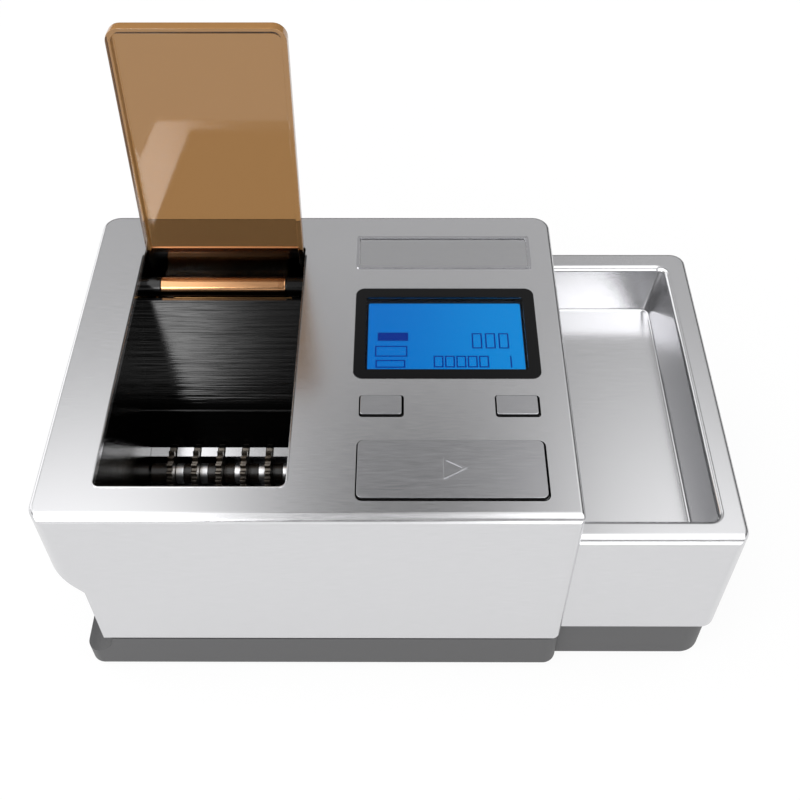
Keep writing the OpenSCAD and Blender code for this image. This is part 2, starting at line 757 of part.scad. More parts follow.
module clamp_ear() {
    translate([clamp_x, clamp_z]) circle(d = 6);
    translate([clamp_x, clamp_z - 3]) square([inset - clamp_x - eps, 6]);
}

module nozzle() color("silver") place() difference() {
    union() {
        rod_x(nozzle_tip, chamber_x0, [nozzle_y, nozzle_z], nozzle_od);
        rod_x(inset - plate_t - 1, inset - plate_t, [nozzle_y, nozzle_z], nozzle_od + 4);
    }
    rod_x(nozzle_tip - 1, chamber_x0 + 1, [nozzle_y, nozzle_z], nozzle_id);
}

module tube_clamp() color("dimgray") place() difference() {
    along_y(nozzle_y - clamp_w / 2, nozzle_y + clamp_w / 2) {
        translate([clamp_x, clamp_z]) circle(d = 5);
        translate([clamp_x - clamp_reach - 2.5, clamp_z - 1.4]) square([clamp_reach + 2.5, 2.8]);
        translate([clamp_x - clamp_reach - 2.5, clamp_z - 4]) square([5, 4]);
    }
    along_y(0, body_d) translate([clamp_x, clamp_z]) circle(d = clamp_pin_d + 2 * fit);
}

module clamp_pad() color("black") place()
    box([clamp_x - clamp_reach - 2, nozzle_y - 2.2, clamp_z - 6],
        [clamp_x - clamp_reach + 2, nozzle_y + 2.2, clamp_z - 4]);

module clamp_pin() color("lightgray") place()
    along_y(nozzle_y - clamp_w / 2 - free - ear_t, nozzle_y + clamp_w / 2 + free + ear_t)
    translate([clamp_x, clamp_z]) circle(d = clamp_pin_d);

// ---------------------------------------------------------------- mechanism

module frame_profile() difference() {
    polygon([[18, floor_z], [18, 34], [34, 58], [feed_y + 34, 58], [feed_y + 34, floor_z]]);
    translate(screw_c) circle(d = bush_d + 0.1);
    translate(feed_c) circle(d = bush_d + 0.1);
    for (s = [-1, 1]) translate(screw_c + [s * rod_reach, -2]) circle(d = rod_d + 0.1);
}

module frame_left() color("lightsteelblue") place() along_x(left_frame_x, left_frame_x + frame_t)
    difference() {
        frame_profile();
        translate([nozzle_y, nozzle_z]) circle(d = nozzle_od + 0.1);
    }

module frame_right() color("lightsteelblue") place() along_x(right_frame_x, right_frame_x + frame_t)
    difference() {
        frame_profile();
        for (c = [feed_motor_c, drive_c]) translate(c) circle(d = 6);
        translate(idler_c) circle(d = 4.1);
    }

module chamber_block() color("slategray") place() difference() {
    along_x(chamber_x0, right_frame_x) difference() {
        union() {
            translate([tamper_back + 5, chamber_z0])
                square([feed_y + 9 - tamper_back - 5, chamber_floor - chamber_z0]);
            translate([nozzle_y, chamber_z0])
                square([feed_y + 9 - nozzle_y, nozzle_z + 6 - chamber_z0]);
        }
        translate([nozzle_y, nozzle_z]) circle(groove_r);
        translate(feed_c) circle(r = wheel_d / 2 + 1);
    }
    box([slot_x0, nozzle_y - slot_w / 2, chamber_z0 - 1], [slot_x1, nozzle_y + slot_w / 2, nozzle_z]);
}

module feed_shaft() color("silver") place()
    rod_x(left_frame_x, gear_x1 + 0.5, feed_c, shaft_d);

// A toothed feed wheel, seen along its shaft
module wheel_outline() difference() {
    r = wheel_d / 2;
    step = 360 / wheel_teeth;
    polygon([for (i = [0:wheel_teeth - 1], p = [[r - 2, -0.32], [r, -0.12], [r, 0.12], [r - 2, 0.32]])
        p[0] * heading((i + p[1]) * step)]);
    circle(d = shaft_d + 0.04);
}

module feed_wheels() color("gainsboro") place() for (i = [0:wheels - 1])
    along_x(wheel_x(i) - wheel_t / 2, wheel_x(i) + wheel_t / 2) translate(feed_c) wheel_outline();

module shaft_sleeve(x0, x1) along_x(x0 + fit, x1 - fit) translate(feed_c) difference() {
    circle(d = collar_d);
    circle(d = shaft_d + 0.04);
}

// Ends of the space between a wheel and the next one
function space_x(i) = [wheel_x(i) + wheel_t / 2, wheel_x(i + 1) - wheel_t / 2];

// Near the shaft's left end a collar stands at the left end of its space,
// elsewhere at the right end
function collar_left(i) = i < wheels / 2 - 1;
function collar_edge(i) = collar_left(i) ? space_x(i)[0] + collar_w : space_x(i)[1] - collar_w;

module feed_collars() color("silver") place() for (i = [0:wheels - 2])
    if (collar_left(i)) shaft_sleeve(space_x(i)[0], collar_edge(i));
    else shaft_sleeve(collar_edge(i), space_x(i)[1]);

module feed_sleeves() color("black") place() {
    shaft_sleeve(hopper_x + 0.4, wheel_x(0) - wheel_t / 2);
    for (i = [0:wheels - 2])
        if (collar_left(i)) shaft_sleeve(collar_edge(i), space_x(i)[1]);
        else shaft_sleeve(space_x(i)[0], collar_edge(i));
    shaft_sleeve(wheel_x(wheels - 1) + wheel_t / 2, hopper_x1 - 0.4);
}

module feed_gear() color("gold") place() gear_at(feed_c, feed_teeth, feed_motor_dir, shaft_d + 0.04);

module shaft_bushes() color("goldenrod") place()
    for (x = [left_frame_x - 0.3, right_frame_x - 0.2], c = [feed_c, screw_c])
        along_x(x, x + bush_l) translate(c) difference() {
            circle(d = bush_d);
            circle(d = (c == feed_c ? shaft_d : screw_d) + 2 * fit);
        }

// A can motor that hangs on the right-hand frame, its shaft through the frame
module motor(c) {
    rod_x(right_frame_x - motor_l, right_frame_x, c, motor_d);
    rod_x(right_frame_x - motor_l - 3, right_frame_x, c, 9);
}

module motor_shaft_bore(c) rod_x(right_frame_x - 12, right_frame_x + 1, c, 2.3 + 2 * fit);

module feed_motor() color("darkgray") place() difference() {
    motor(feed_motor_c);
    motor_shaft_bore(feed_motor_c);
}

// A pinion with its motor's shaft
module pinion(c, teeth, turn) {
    gear_at(c, teeth, turn, 2);
    rod_x(right_frame_x - 10, gear_x1 + 0.5, c, 2.3);
}

module feed_pinion() color("gold") place()
    pinion(feed_motor_c, feed_pinion_teeth,
        mesh_turn(feed_motor_dir, feed_motor_dir, feed_teeth, feed_pinion_teeth));

module lead_screw() color("silver") place()
    rod_x(left_frame_x - 0.3, gear_x1 + 0.3, screw_c, screw_d);

module screw_gear() color("gold") place() gear_at(screw_c, screw_teeth, idler_dir, screw_d + 0.04);

module idler_gear() color("gold") place() gear_at(idler_c, idler_teeth, idler_turn, 4 + 2 * fit);

module idler_pin() color("lightgray") place() {
    rod_x(right_frame_x - 1, gear_x1 + 0.2, idler_c, 4);
    rod_x(gear_x1 + 0.1, gear_x1 + 0.5, idler_c, 5.5);
}

module drive_motor() color("darkgray") place() difference() {
    motor(drive_c);
    motor_shaft_bore(drive_c);
}

module drive_pinion() color("gold") place() pinion(drive_c, drive_teeth, drive_turn);

module spoon_carriage() color("ivory") place() difference() {
    union() {
        box([carriage_x1 - carriage_l, nozzle_y - 12, carriage_z0],
            [carriage_x1, nozzle_y + 12, carriage_z1]);
        box([fin_x1 - fin_l, nozzle_y - fin_w / 2, carriage_z1 - eps],
            [fin_x1, nozzle_y + fin_w / 2, nozzle_z]);
        rod_x(fin_x1 - fin_l, fin_x1, [nozzle_y, nozzle_z], 2 * spoon_r - 2 * spoon_t - 0.1);
    }
    rod_x(0, body_w, screw_c, screw_d + 2 * fit);
    for (s = [-1, 1]) rod_x(0, body_w, screw_c + [s * rod_reach, -2], rod_d + 2 * fit);
}

// A half tube, open upwards
module spoon() color("silver") place() difference() {
    rod_x(fin_x1 - spoon_l, fin_x1, [nozzle_y, nozzle_z], 2 * spoon_r);
    rod_x(fin_x1 - spoon_l - 1, fin_x1 + 1, [nozzle_y, nozzle_z], 2 * spoon_r - 2 * spoon_t);
    box([fin_x1 - spoon_l - 1, 0, nozzle_z], [fin_x1 + 1, body_d, body_h]);
    // Gap for the carriage's fin
    box([fin_x1 - fin_l - 0.2, nozzle_y - fin_w / 2 - fit, 0],
        [fin_x1 + 1, nozzle_y + fin_w / 2 + fit, nozzle_z]);
}

module guide_rods() color("silver") place() for (s = [-1, 1])
    rod_x(left_frame_x, right_frame_x + frame_t, screw_c + [s * rod_reach, -2], rod_d);

module tamper_bar() color("lightslategray") place() {
    difference() {
        box([tamper_x0, tamper_back, tamper_z0], [tamper_x1, tamper_face, tamper_z1]);
        rod_x(0, body_w, [nozzle_y - tamp, nozzle_z], 2 * groove_r);
    }
    box([solenoid_x - 6, tamper_back, tamper_z1 - eps],
        [solenoid_x + 6, tamper_back + 3, solenoid_z + 5]);
    along_y(solenoid_y - 14, tamper_back + eps)
        translate([solenoid_x, solenoid_z]) circle(d = plunger_d);
}

module tamper_solenoid() color("darkslategray") place() difference() {
    union() {
        box([solenoid_x - solenoid_w / 2, solenoid_y - solenoid_l, solenoid_z - 8],
            [solenoid_x + solenoid_w / 2, solenoid_y, solenoid_z + 8]);
        box([solenoid_x - solenoid_w / 2 - 3, solenoid_y - solenoid_l, floor_z],
            [solenoid_x - solenoid_w / 2 + eps, solenoid_y, solenoid_z + 8]);
    }
    along_y(solenoid_y - 22, solenoid_y + 1) translate([solenoid_x, solenoid_z])
        circle(d = plunger_d + 2 * fit);
}

// ---------------------------------------------------------------- power

module power_board() color("darkgreen") place() {
    p0 = power_board_at[0];
    p1 = power_board_at[1];
    box([p0[0], p0[1], floor_z + 3], [p1[0], p1[1], floor_z + 4.6]);
    for (x = [p0[0] + 3, p1[0] - 3], y = [p0[1] + 3, p1[1] - 3])
        translate([x, y, floor_z]) cylinder(d = 5, h = 3);
    box([p0[0] + 6, p0[1] + 6, floor_z + 4.5], [p0[0] + 30, p0[1] + 28, floor_z + 22]);
    for (x = [42, 54]) translate([p0[0] + x, p0[1] + 14, floor_z + 4.5]) cylinder(d = 8, h = 12);
}

module power_inlet() color("#202020") place() difference() {
    union() {
        along_y(back_y - 12, back_y) translate([inlet_x - 5, power_z - 5]) square(10);
        along_y(back_y, back_y + 1) translate([inlet_x, power_z]) circle(d = 14);
    }
    along_y(back_y - 10, back_y + 2) translate([inlet_x, power_z]) circle(d = 6.4);
    along_y(back_y - 11, back_y - 9) translate([inlet_x, power_z]) circle(d = 3);
}

module switch_housing() color("#202020") place() difference() {
    union() {
        along_y(back_y - 14, back_y) translate([rocker_x - 9.5, power_z - 6.5]) square([19, 13]);
        along_y(back_y, back_y + 1) translate([rocker_x - 10.5, power_z - 7.5]) square([21, 15]);
    }
    along_y(back_y - 9, back_y + 2) translate([rocker_x - 7.5, power_z - 5]) square([15, 10]);
    translate([rocker_x, back_y - 4, power_z - 8]) cylinder(d = 2 + 2 * fit, h = 16);
}

// The rocker turns about a stub above and below and lies with its left end pressed in
module power_rocker() color("#101010") place() translate([rocker_x, back_y - 4, power_z])
    rotate([0, 0, rocker_tilt]) {
        box([-7, -3, -4.7], [7, 4, 4.7]);
        translate([0, 0, -6.2]) cylinder(d = 2, h = 12.4);
    }

top_shell();
base_pan();
rubber_feet();
nameplate();
display_frame();
display_window();
lcd_module();
control_board();
tact_switches();
hopper();
comb_plate();
chamber_block();
nozzle_plate();
nozzle();
frame_left();
frame_right();
hinge_pin();
lid();
bay_liner();
tray_shell();
tray_base();
start_button();
start_springs();
left_key();
right_key();
key_springs();
feed_shaft();
feed_wheels();
feed_collars();
feed_sleeves();
feed_gear();
shaft_bushes();
feed_motor();
feed_pinion();
lead_screw();
screw_gear();
idler_gear();
idler_pin();
drive_motor();
drive_pinion();
spoon_carriage();
spoon();
guide_rods();
tamper_bar();
tamper_solenoid();
tube_clamp();
clamp_pad();
clamp_pin();
power_board();
power_inlet();
switch_housing();
power_rocker();
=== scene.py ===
"""Looks of a table-top tube filling machine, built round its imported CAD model.

Sizes and places are in mm from the housing's left front corner on the table, and at()
turns them into metres of the frame.
"""
import json
import math

import bpy
from mathutils import Matrix, Vector


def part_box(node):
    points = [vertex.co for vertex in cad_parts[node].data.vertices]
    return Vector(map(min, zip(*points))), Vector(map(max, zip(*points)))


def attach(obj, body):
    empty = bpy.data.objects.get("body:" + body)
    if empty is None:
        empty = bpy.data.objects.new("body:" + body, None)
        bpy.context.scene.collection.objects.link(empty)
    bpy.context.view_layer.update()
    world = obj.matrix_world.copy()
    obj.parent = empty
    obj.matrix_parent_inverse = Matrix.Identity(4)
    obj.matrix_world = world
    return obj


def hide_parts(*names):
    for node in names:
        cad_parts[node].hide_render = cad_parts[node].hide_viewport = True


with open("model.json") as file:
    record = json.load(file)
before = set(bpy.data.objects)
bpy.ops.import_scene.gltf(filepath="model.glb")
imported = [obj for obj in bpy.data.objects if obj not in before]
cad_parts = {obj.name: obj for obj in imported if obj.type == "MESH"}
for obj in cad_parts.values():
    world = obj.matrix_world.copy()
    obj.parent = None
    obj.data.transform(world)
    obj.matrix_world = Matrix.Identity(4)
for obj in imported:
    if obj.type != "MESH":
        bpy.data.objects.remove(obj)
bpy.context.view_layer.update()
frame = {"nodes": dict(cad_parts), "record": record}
nodes = frame["nodes"]
slot_of = {part["node"]: part["material_slot"] for part in frame["record"]["subparts"]}
body_of = {node: body for body, held in frame["record"]["behaviour"]["bodies"].items()
           for node in held}
MM = 0.001


def corners(node):
    """The lower and the upper corner of a node's box, in metres of the frame."""
    return [Vector(corner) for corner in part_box(node)]


shell_low, shell_high = corners("top_shell")
CORNER = Vector((shell_low.x, shell_low.y, 0))
PANEL_Z = shell_high.z / MM
POWER_Z = sum(corner.z for corner in corners("power_inlet")) / 2 / MM


def at(x, y, z):
    """A point of the housing's drawings, in mm, as metres of the frame."""
    return CORNER + Vector((x, y, z)) * MM


# ------------------------------------------------------------ camera and light

CAMERA_PLACE = (0.005726, -0.324926, 0.469429)
CAMERA_YAW, CAMERA_PITCH, CAMERA_ROLL = -0.37002, 49.6823, -0.23472
LENS, SENSOR = 49.303, 36


def aim(yaw, pitch, roll):
    """Turn of a camera that looks along +Y, then yaws right, pitches down and rolls."""
    yaw, pitch, roll = (math.radians(a) for a in (yaw, pitch, roll))
    ahead = Vector((math.sin(yaw) * math.cos(pitch), math.cos(yaw) * math.cos(pitch),
                    -math.sin(pitch)))
    right = Vector((math.cos(yaw), -math.sin(yaw), 0))
    up = right.cross(ahead)
    across = right * math.cos(roll) + up * math.sin(roll)
    above = up * math.cos(roll) - right * math.sin(roll)
    return Matrix((across, above, -ahead)).transposed()


camera = bpy.data.objects.new("camera", bpy.data.cameras.new("camera"))
bpy.context.scene.collection.objects.link(camera)
camera.matrix_world = Matrix.Translation(CAMERA_PLACE) @ aim(
    CAMERA_YAW, CAMERA_PITCH, CAMERA_ROLL).to_4x4()
camera.data.lens = LENS
camera.data.sensor_width = SENSOR
bpy.context.scene.camera = camera
bpy.context.scene.view_settings.view_transform = "Standard"


def add(tree, kind, settings=None, inputs=None):
    """Adds a node; settings are its own properties, inputs feed its sockets."""
    made = tree.nodes.new(kind)
    for name, value in (settings or {}).items():
        setattr(made, name, value)
    for name, value in (inputs or {}).items():
        if isinstance(value, bpy.types.NodeSocket):
            tree.links.new(value, made.inputs[name])
        else:
            made.inputs[name].default_value = value
    return made


def lamp(name, place, target, size, power):
    """A soft rectangular lamp that faces its target; places in metres, power in watts."""
    light = bpy.data.lights.new(name, "AREA")
    light.shape = "RECTANGLE"
    light.size, light.size_y = size
    light.energy = power
    holder = bpy.data.objects.new(name, light)
    bpy.context.scene.collection.objects.link(holder)
    holder.location = place
    holder.rotation_euler = (Vector(target) - Vector(place)).to_track_quat("-Z", "Y").to_euler()


lamp("side_box", (-1.7, -1.2, 1.2), (0, 0, 0.1), (0.9, 0.6), 10)
# The front box is mirrored by the top panel and, together with the panel, by the lid
lamp("front_box", (-0.60, -1.53, 0.92), (-0.1, 0, 0.12), (0.38, 0.55), 4.0)

# The metal needs dark and bright walls to show its form, so the machine stands in a light
# tent. Each ramp goes smoothly, between two values of a direction's X, Y or Z, from one
# brightness to another
RAMPS = {
    "roof_left": ("X", -0.03, -0.30, 0.08, 1.95),
    "roof_right": ("X", 0.03, 0.26, 0.08, 1.50),
    "back_foot": ("Z", 0.40, 0.60, 0.15, 1.00),
    "back_top": ("Z", 0.60, 0.68, 0.56, 0.50),
    "left_end": ("X", -0.50, -0.68, 0.00, 1.50),
    "front_top": ("Z", 0.50, 0.64, 0.03, 0.42),
    "front_foot": ("Z", 0.42, 0.08, 0.00, 1.10),
    "left_inner": ("X", -0.13, -0.20, 0.00, 1.00),
    "left_outer": ("X", -0.80, -0.60, 0.35, 1.00),
    "left_height": ("Z", 0.46, 0.54, 0.05, 2.40),
    "right_inner": ("X", 0.02, 0.17, 0.00, 1.00),
    "right_outer": ("X", 0.60, 0.40, 0.00, 1.00),
    "right_foot": ("Z", 0.52, 0.40, 0.30, 3.40),
    "right_top": ("Z", 0.72, 0.84, 0.30, 2.60),
    "into_roof": ("Z", 0.69, 0.84, 0.00, 1.00),
    "into_front": ("Y", 0.45, 0.10, 0.00, 1.00),
}
# The walls of the tent, each put together from two ramps or walls before it
WALLS = {
    "roof": ("MAXIMUM", "roof_left", "roof_right"),
    "back": ("MULTIPLY", "back_foot", "back_top"),
    "back_and_end": ("MAXIMUM", "back", "left_end"),
    "left_box": ("MULTIPLY", "left_outer", "left_height"),
    "left": ("MULTIPLY", "left_inner", "left_box"),
    "right_heights": ("MAXIMUM", "right_foot", "right_top"),
    "right_box": ("MULTIPLY", "right_outer", "right_heights"),
    "right": ("MULTIPLY", "right_inner", "right_box"),
    "sides": ("MAXIMUM", "left", "right"),
    "strip": ("MAXIMUM", "front_top", "front_foot"),
    "front": ("MAXIMUM", "strip", "sides"),
}
world = bpy.data.worlds.new("light_tent")
bpy.context.scene.world = world
world.use_nodes = True
tree = world.node_tree
tree.nodes.clear()
way = add(tree, "ShaderNodeSeparateXYZ", inputs={
    0: add(tree, "ShaderNodeTexCoord").outputs["Generated"]}).outputs
glow = {}
for name, (axis, low, high, start, end) in RAMPS.items():
    glow[name] = add(tree, "ShaderNodeMapRange", {"interpolation_type": "SMOOTHSTEP"}, {
        "Value": way[axis], "From Min": low, "From Max": high,
        "To Min": start, "To Max": end}).outputs[0]
for name, (operation, first, second) in WALLS.items():
    glow[name] = add(tree, "ShaderNodeMath", {"operation": operation}, {
        0: glow[first], 1: glow[second]}).outputs[0]
behind = add(tree, "ShaderNodeMix", {"data_type": "FLOAT"}, {
    0: glow["into_roof"], 2: glow["back_and_end"], 3: glow["roof"]})
around = add(tree, "ShaderNodeMix", {"data_type": "FLOAT"}, {
    0: glow["into_front"], 2: behind.outputs[0], 3: glow["front"]})
tent = add(tree, "ShaderNodeBackground", inputs={
    "Color": (1, 1, 1, 1), "Strength": around.outputs[0]})
white = add(tree, "ShaderNodeBackground", inputs={"Color": (1, 1, 1, 1), "Strength": 1.0})
# The camera itself sees a plain white background instead of the tent
background = add(tree, "ShaderNodeMixShader", inputs={
    0: add(tree, "ShaderNodeLightPath").outputs["Is Camera Ray"], 1: tent.outputs[0],
    2: white.outputs[0]})
add(tree, "ShaderNodeOutputWorld", inputs={"Surface": background.outputs[0]})


# ------------------------------------------------------------------- materials

ROUGH_SPREAD = 0.05      # how far the grain takes the roughness to either side
SMOOTHEST = 0.02
GRAIN_HEIGHT = 0.2       # height of the grain as a share of its width
BLUE_X = (130, 200)      # where the display's light goes from one blue to the other
DISPLAY_SHINE = 0.95


def linear(text):
    """An sRGB hex value as a linear colour."""
    parts = [int(text[i:i + 2], 16) / 255 for i in (1, 3, 5)]
    return [p / 12.92 if p <= 0.04045 else ((p + 0.055) / 1.055) ** 2.4 for p in parts] + [1.0]


def surface(name, colour, rough, metal=0.0, grain=0.0, grain_mm=0.5, stretch=(1, 1, 1),
            vary=0.06, **sockets):
    """A finish whose roughness, colour and height follow one fine grain of a real size."""
    made = bpy.data.materials.new(name)
    made.use_nodes = True
    tree = made.node_tree
    tree.nodes.clear()
    place = add(tree, "ShaderNodeTexCoord").outputs["Object"]
    stretched = add(tree, "ShaderNodeMapping", inputs={"Vector": place, "Scale": stretch})
    fine = add(tree, "ShaderNodeTexNoise", {"normalize": True}, {
        "Vector": stretched.outputs[0], "Scale": 1 / (grain_mm * MM), "Detail": 2.0})
    roughness = add(tree, "ShaderNodeMapRange", inputs={
        "Value": fine.outputs[0], "To Min": max(rough - ROUGH_SPREAD, SMOOTHEST),
        "To Max": rough + ROUGH_SPREAD})
    shader = add(tree, "ShaderNodeBsdfPrincipled", inputs={
        "Base Color": linear(colour), "Roughness": roughness.outputs[0], "Metallic": metal})
    if vary:
        tone = add(tree, "ShaderNodeMapRange", inputs={
            "Value": fine.outputs[0], "To Min": 1 - vary, "To Max": 1 + vary})
        tinted = add(tree, "ShaderNodeVectorMath", {"operation": "SCALE"}, {
            0: linear(colour)[:3], "Scale": tone.outputs[0]})
        tree.links.new(tinted.outputs[0], shader.inputs["Base Color"])
    if grain:
        bump = add(tree, "ShaderNodeBump", inputs={
            "Strength": grain, "Distance": grain_mm * MM * GRAIN_HEIGHT,
            "Height": fine.outputs[0]})
        tree.links.new(bump.outputs[0], shader.inputs["Normal"])
    for socket, value in sockets.items():
        shader.inputs[socket.replace("_", " ")].default_value = value
    add(tree, "ShaderNodeOutputMaterial", inputs={"Surface": shader.outputs[0]})
    return made


def display_glow():
    """The display's lit panel: it shines by itself, a deeper blue towards its left end."""
    made = surface("backlit_display", "#000308", 0.4, Specular_IOR_Level=0.0)
    tree = made.node_tree
    x = add(tree, "ShaderNodeSeparateXYZ", inputs={
        0: add(tree, "ShaderNodeTexCoord").outputs["Object"]}).outputs["X"]
    along = add(tree, "ShaderNodeMapRange", {"interpolation_type": "SMOOTHSTEP"}, {
        "Value": x, "From Min": at(BLUE_X[0], 0, 0).x, "From Max": at(BLUE_X[1], 0, 0).x})
    blue = add(tree, "ShaderNodeMix", {"data_type": "RGBA"}, {
        0: along.outputs[0], 6: linear("#0070C8"), 7: linear("#0688D8")})
    shader = next(node for node in tree.nodes if node.type == "BSDF_PRINCIPLED")
    tree.links.new(blue.outputs[2], shader.inputs["Emission Color"])
    shader.inputs["Emission Strength"].default_value = DISPLAY_SHINE
    return made


FINISHES = {
    # Metallic lacquer sprayed on moulded ABS and brushed along X: a soft mirror that draws
    # each light into a band. Its hairlines are under 0.1 mm and are drawn 0.4 mm wide, so
    # that they show
    "shell_silver": surface("silver_lacquer_on_abs", "#D8D8DA", 0.20, 0.96, 0.03, 0.40,
                            (0.06, 1, 1), 0.06),
    # The same lacquer on the small caps, a shade darker and with coarser hairlines
    "key_silver": surface("silver_lacquer_on_keys", "#C4C4C7", 0.22, 0.96, 0.04, 0.45,
                          (0.06, 1, 1), 0.07),
    # Moulded ABS with a fine spark-eroded texture: an even, matt grey
    "base_grey": surface("grey_moulded_abs", "#4B4B4C", 0.5, 0, 0.15, 0.4),
    # Moulded rubber: nearly black, with no highlight
    "rubber": surface("black_moulded_rubber", "#101010", 0.8, 0, 0.2, 0.5),
    # Anodised aluminium sheet, brushed along X: a silky plate, duller than the lacquer
    "plate": surface("brushed_anodised_aluminium", "#C4C4C6", 0.30, 0.95, 0.08, 0.12,
                     (0.03, 1, 1)),
    # Moulded and polished acrylic: black, with sharp but dim reflections
    "gloss_black": surface("polished_black_acrylic", "#060607", 0.12, Specular_IOR_Level=0.25),
    # Clear acrylic sheet, cut and polished: hardly seen, with a low IOR so that the lit
    # display behind it keeps its colour
    "clear_window": surface("clear_acrylic", "#FFFFFF", 0.03, vary=0.0,
                            Transmission_Weight=1.0, IOR=1.2),
    "lcd_blue": display_glow(),
    # Solder mask on a glass-fibre board: deep green with a satin sheen
    "board_green": surface("solder_mask", "#0B4023", 0.35),
    # Moulded nylon: black with a soft, broad highlight
    "switch_black": surface("black_moulded_nylon", "#161616", 0.45, 0, 0.1, 0.3),
    # ABS moulded against a tool that was polished along X: black, with long streaks of
    # light where the chute faces a lamp. The marks are a tenth of a mm and are drawn 1.1 mm
    # wide, so that they show
    "hopper_black": surface("black_polished_abs", "#020202", 0.14, 0, 0.5, 1.1, (0.03, 1, 1),
                            Specular_IOR_Level=0.4),
    # Polished steel: a bright mirror, slightly softened
    "bright_steel": surface("polished_steel", "#D2D2D4", 0.16, 1.0),
    # Milled aluminium: a dull grey metal
    "machined_alloy": surface("milled_aluminium", "#8E9093", 0.4, 1.0),
    # Zinc-plated sheet steel: grey with a cool, soft shine
    "frame_steel": surface("zinc_plated_steel", "#A0A3A8", 0.32, 1.0),
    # Acrylic sheet, tinted brown and polished: clear brown glass with sharp reflections
    "amber_lid": surface("smoked_amber_acrylic", "#A67D50", 0.03, vary=0.0,
                         Transmission_Weight=1.0, IOR=1.49),
    # Drawn spring wire: grey metal with a fine shine
    "spring_steel": surface("drawn_spring_wire", "#A8A8A8", 0.3, 1.0),
    # Moulded acetal without dye: cream white and waxy
    "gear_plastic": surface("natural_acetal", "#E2DCCB", 0.4),
    # Sintered bronze, soaked in oil: brown and nearly matt
    "bush_bronze": surface("sintered_bronze", "#9A6C3A", 0.5, 1.0),
    # Deep-drawn steel can: even grey metal
    "motor_can": surface("drawn_steel_can", "#9A9A9E", 0.3, 1.0),
    # Cut brass: yellow metal with a clear shine
    "gear_brass": surface("cut_brass", "#C79C4C", 0.28, 1.0),
    # Taped winding: dark and plain
    "coil_dark": surface("wrapped_coil", "#1E2226", 0.55),
}
# Nodes that share a slot but not a finish
OWN_FINISHES = {
    # Hardened steel with oil on it: dark, with small bright teeth
    "feed_wheels": surface("oiled_dark_steel", "#6B655E", 0.28, 1.0, 0.2, 0.4),
    # Steel rings ground round their own axis: white streaks across the shaft
    "feed_collars": surface("ground_steel", "#EDEDEE", 0.3, 1.0, 0.1, 0.3, (1, 0.05, 0.05)),
    # Phenolic paper tube: dark brown with a varnished shine
    "feed_sleeves": surface("brown_phenolic_tube", "#1A130D", 0.25, 0, 0.05, 0.5,
                            Specular_IOR_Level=0.8),
}
# Black, nearly matt finish for the button gaps and the band round them: partly the dark plastic
# inside each gap, partly painted shade and painted shadow, so that each gap shows as a black
# line
BLACK_GAP_AND_SHADOW = surface("black_gap_and_painted_shadow", "#020202", 0.95, 0, 0.2, 0.4, Specular_IOR_Level=0.05)
# Pad-printed marks: flat white
WHITE_PRINT = surface("white_pad_print", "#D8D8D8", 0.6)
# The display's dark segments, which still pass some of the light behind them
DISPLAY_INK = surface("display_ink", "#000206", 0.5, Specular_IOR_Level=0.0, vary=0.0,
                      Emission_Color=linear("#0034A0"), Emission_Strength=0.7)
# The narrow faces of the amber sheet, sawn and flame-polished: they gather the light that
# runs inside the sheet and look solid
AMBER_EDGE = surface("polished_edge_of_amber_acrylic", "#A67A4A", 0.12, vary=0.03)
# Painted highlight: a thin, bright copper-coloured metal line that stands for the light caught
# by the rounded front edge of the lid's foot
COPPER_HIGHLIGHT_ROD = surface("copper_coloured_highlight_rod", "#C08050", 0.2, 0.6, vary=0.03)
# Turned aluminium tube, anodised in the lid's colour: a copper mirror along its length
AMBER_TUBE = surface("amber_anodised_tube", "#C4946A", 0.14, 1.0, 0.05, 0.5, (0.04, 1, 1),
                     0.05)

for name, node in nodes.items():
    node.data.materials.clear()
    node.data.materials.append(FINISHES[slot_of[name]])


# ------------------------------------------------------------- modelling steps

SMOOTH_ANGLE = math.radians(32)
CORNER_STEPS = 5         # facets in the round corner of a ring
EDGE_STEPS = 3           # facets in its round edge


def none_selected():
    """Leaves every object unselected, unless a piece is being edited."""
    if bpy.context.mode == "OBJECT":
        bpy.ops.object.select_all(action="DESELECT")


def begin(piece):
    """Selects a piece alone and makes it active."""
    none_selected()
    piece.select_set(True)
    bpy.context.view_layer.objects.active = piece


def edit(piece):
    """Goes into edit mode with the whole piece selected."""
    begin(piece)
    bpy.ops.object.mode_set(mode="EDIT")
    bpy.ops.mesh.select_mode(type="EDGE")
    bpy.ops.mesh.select_all(action="SELECT")


def started():
    """The piece that a primitive has just begun, in edit mode."""
    piece = bpy.context.object
    if bpy.context.mode == "OBJECT":
        edit(piece)
    return piece


def done(piece, name, body, slot, finish=None):
    """Leaves edit mode, puts the piece's place in its mesh and names what it rides on."""
    if bpy.context.mode != "OBJECT":
        bpy.ops.object.mode_set(mode="OBJECT")
    begin(piece)
    bpy.ops.object.transform_apply(location=True, rotation=True, scale=True)
    bpy.ops.object.shade_smooth_by_angle(angle=SMOOTH_ANGLE)
    bpy.ops.object.modifier_add(type="WEIGHTED_NORMAL")
    piece.modifiers[-1].keep_sharp = True
    bpy.ops.object.modifier_apply(modifier=piece.modifiers[-1].name)
    piece.name = name
    piece.data.name = name
    piece.data.materials.clear()
    piece.data.materials.append(finish or FINISHES[slot])
    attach(piece, body)
    piece.select_set(False)
    return piece


def pick(piece, test):
    """Selects, in edit mode, the faces whose centre and normal pass the test."""
    bpy.ops.mesh.select_mode(type="FACE")
    bpy.ops.mesh.select_all(action="DESELECT")
    bpy.ops.object.mode_set(mode="OBJECT")
    turn = piece.matrix_world.to_3x3().normalized()
    for face in piece.data.polygons:
        face.select = test(piece.matrix_world @ face.center, turn @ face.normal)
    bpy.ops.object.mode_set(mode="EDIT")


def push_up(rise):
    """Extrudes what is selected along Z."""
    bpy.ops.mesh.extrude_region_move(TRANSFORM_OT_translate={
        "value": (0, 0, rise * MM), "orient_type": "GLOBAL"})


